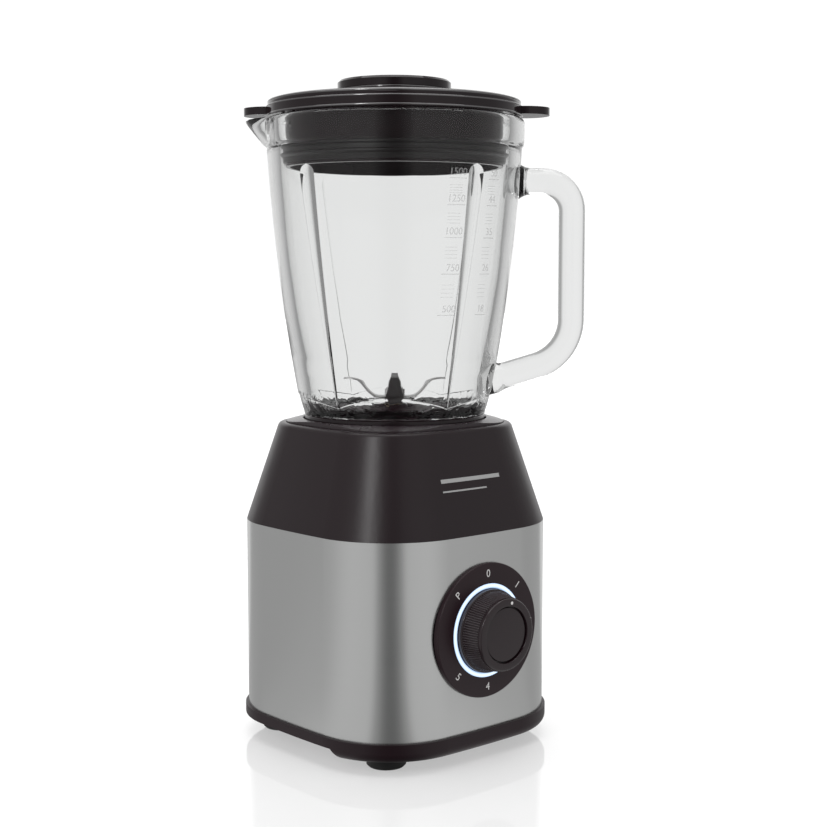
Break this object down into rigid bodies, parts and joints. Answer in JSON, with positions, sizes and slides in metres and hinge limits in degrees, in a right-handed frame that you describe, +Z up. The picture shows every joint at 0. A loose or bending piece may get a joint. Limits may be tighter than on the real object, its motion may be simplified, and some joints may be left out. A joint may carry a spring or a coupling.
{
  "type": "countertop blender",
  "caption": "Countertop blender: square steel-wrapped motor base with a round dial, a fluted glass jug with a closed handle, and a black press-in lid with a measuring cap.",
  "frame": {"origin": "on the standing plane, under the common axis of motor, blades and jug", "axes": "+Z up along the motor's axis, -Y towards the front face with the speed knob, +X to the right of someone facing it"},
  "size_m": [0.1675, 0.181, 0.3958],
  "materials": {
    "foot_rubber": "matte",
    "base_black": "fine matte texture",
    "steel": "brushed lengthwise",
    "housing_black": "satin, fine grain",
    "deck_black": "satin gloss",
    "gloss_black": "polished",
    "dial_black": "satin",
    "knob_black": "satin, ribbed",
    "light_diffuser": "translucent white",
    "board_green": "solder mask",
    "switch_grey": "moulded",
    "zinc_steel": "zinc plated",
    "lamination": "stacked sheet",
    "copper": "enamelled wire",
    "cast_aluminium": "as cast",
    "bearing_steel": "ground",
    "shaft_steel": "ground",
    "carbon": "pressed carbon",
    "brass": "stamped",
    "fan_white": "moulded",
    "glass": "clear pressed glass",
    "blade_steel": "polished",
    "seal_rubber": "matte"
  },
  "bodies": {
    "base": {"rubber_feet": "foot_rubber", "base_plate": "base_black", "inner_frame": "housing_black", "steel_wrap": "steel", "motor_housing": "housing_black", "top_deck": "deck_black", "base_screws": "zinc_steel", "cord_gland": "base_black", "dial_plate": "dial_black", "light_ring": "light_diffuser", "led_board": "board_green", "rotary_switch": "switch_grey", "switch_nut": "zinc_steel", "control_board": "board_green", "heat_sink": "cast_aluminium", "stator_core": "lamination", "field_coils": "copper", "motor_frame_lower": "cast_aluminium", "motor_frame_upper": "cast_aluminium", "upper_bearing": "bearing_steel", "lower_bearing": "bearing_steel", "motor_mounts": "seal_rubber", "motor_screws": "zinc_steel", "carbon_brushes": "carbon", "brush_holders": "brass", "air_duct": "switch_grey", "micro_switch": "switch_grey", "interlock_spring": "zinc_steel"},
    "knob": {"speed_knob": "knob_black", "knob_cap": "gloss_black", "switch_shaft": "switch_grey"},
    "rotor": {"motor_shaft": "shaft_steel", "rotor_core": "lamination", "armature_windings": "copper", "commutator": "copper", "cooling_fan": "fan_white", "drive_coupling": "knob_black"},
    "plunger": {"interlock_plunger": "fan_white"},
    "jug": {"jug_glass": "glass", "jug_collar": "gloss_black", "blade_seat": "base_black", "blade_seal": "seal_rubber", "shaft_bush": "brass"},
    "blades": {"blade_shaft": "shaft_steel", "upper_blade": "blade_steel", "lower_blade": "blade_steel", "blade_washer": "zinc_steel", "blade_nut": "blade_steel", "driven_coupling": "knob_black"},
    "lid": {"lid": "gloss_black", "lid_gasket": "seal_rubber"},
    "cap": {"measuring_cap": "gloss_black"}
  },
  "joints": [
    {"name": "jug_lift", "type": "slide", "parent": "base", "child": "jug", "axis": [0, 0, 1], "range_m": [0, 0.06]},
    {"name": "lid_lift", "type": "slide", "parent": "jug", "child": "lid", "axis": [0, 0, 1], "range_m": [0, 0.09]},
    {"name": "cap_lift", "type": "slide", "parent": "lid", "child": "cap", "axis": [0, 0, 1], "range_m": [0, 0.06]},
    {"name": "rotor_spin", "type": "hinge", "parent": "base", "child": "rotor", "pos_m": [0, 0, 0.1], "axis": [0, 0, 1], "continuous": true},
    {"name": "blade_spin", "type": "hinge", "parent": "jug", "child": "blades", "pos_m": [0, 0, 0.2], "axis": [0, 0, 1], "continuous": true},
    {"name": "knob_turn", "type": "hinge", "parent": "base", "child": "knob", "pos_m": [0, -0.09, 0.0767], "axis": [0, 1, 0], "range_deg": [-56, 214]},
    {"name": "plunger_rise", "type": "slide", "parent": "base", "child": "plunger", "axis": [0, 0, 1], "range_m": [0, 0.003], "stiffness_N_per_m": 100, "springref_m": 0.004, "deforming": ["interlock_spring"]}
  ],
  "couplings": [
    {"joint": "blade_spin", "follows": "rotor_spin", "ratio": 1},
    {"joint": "plunger_rise", "follows": "jug_lift", "ratio": 0.05}
  ]
}
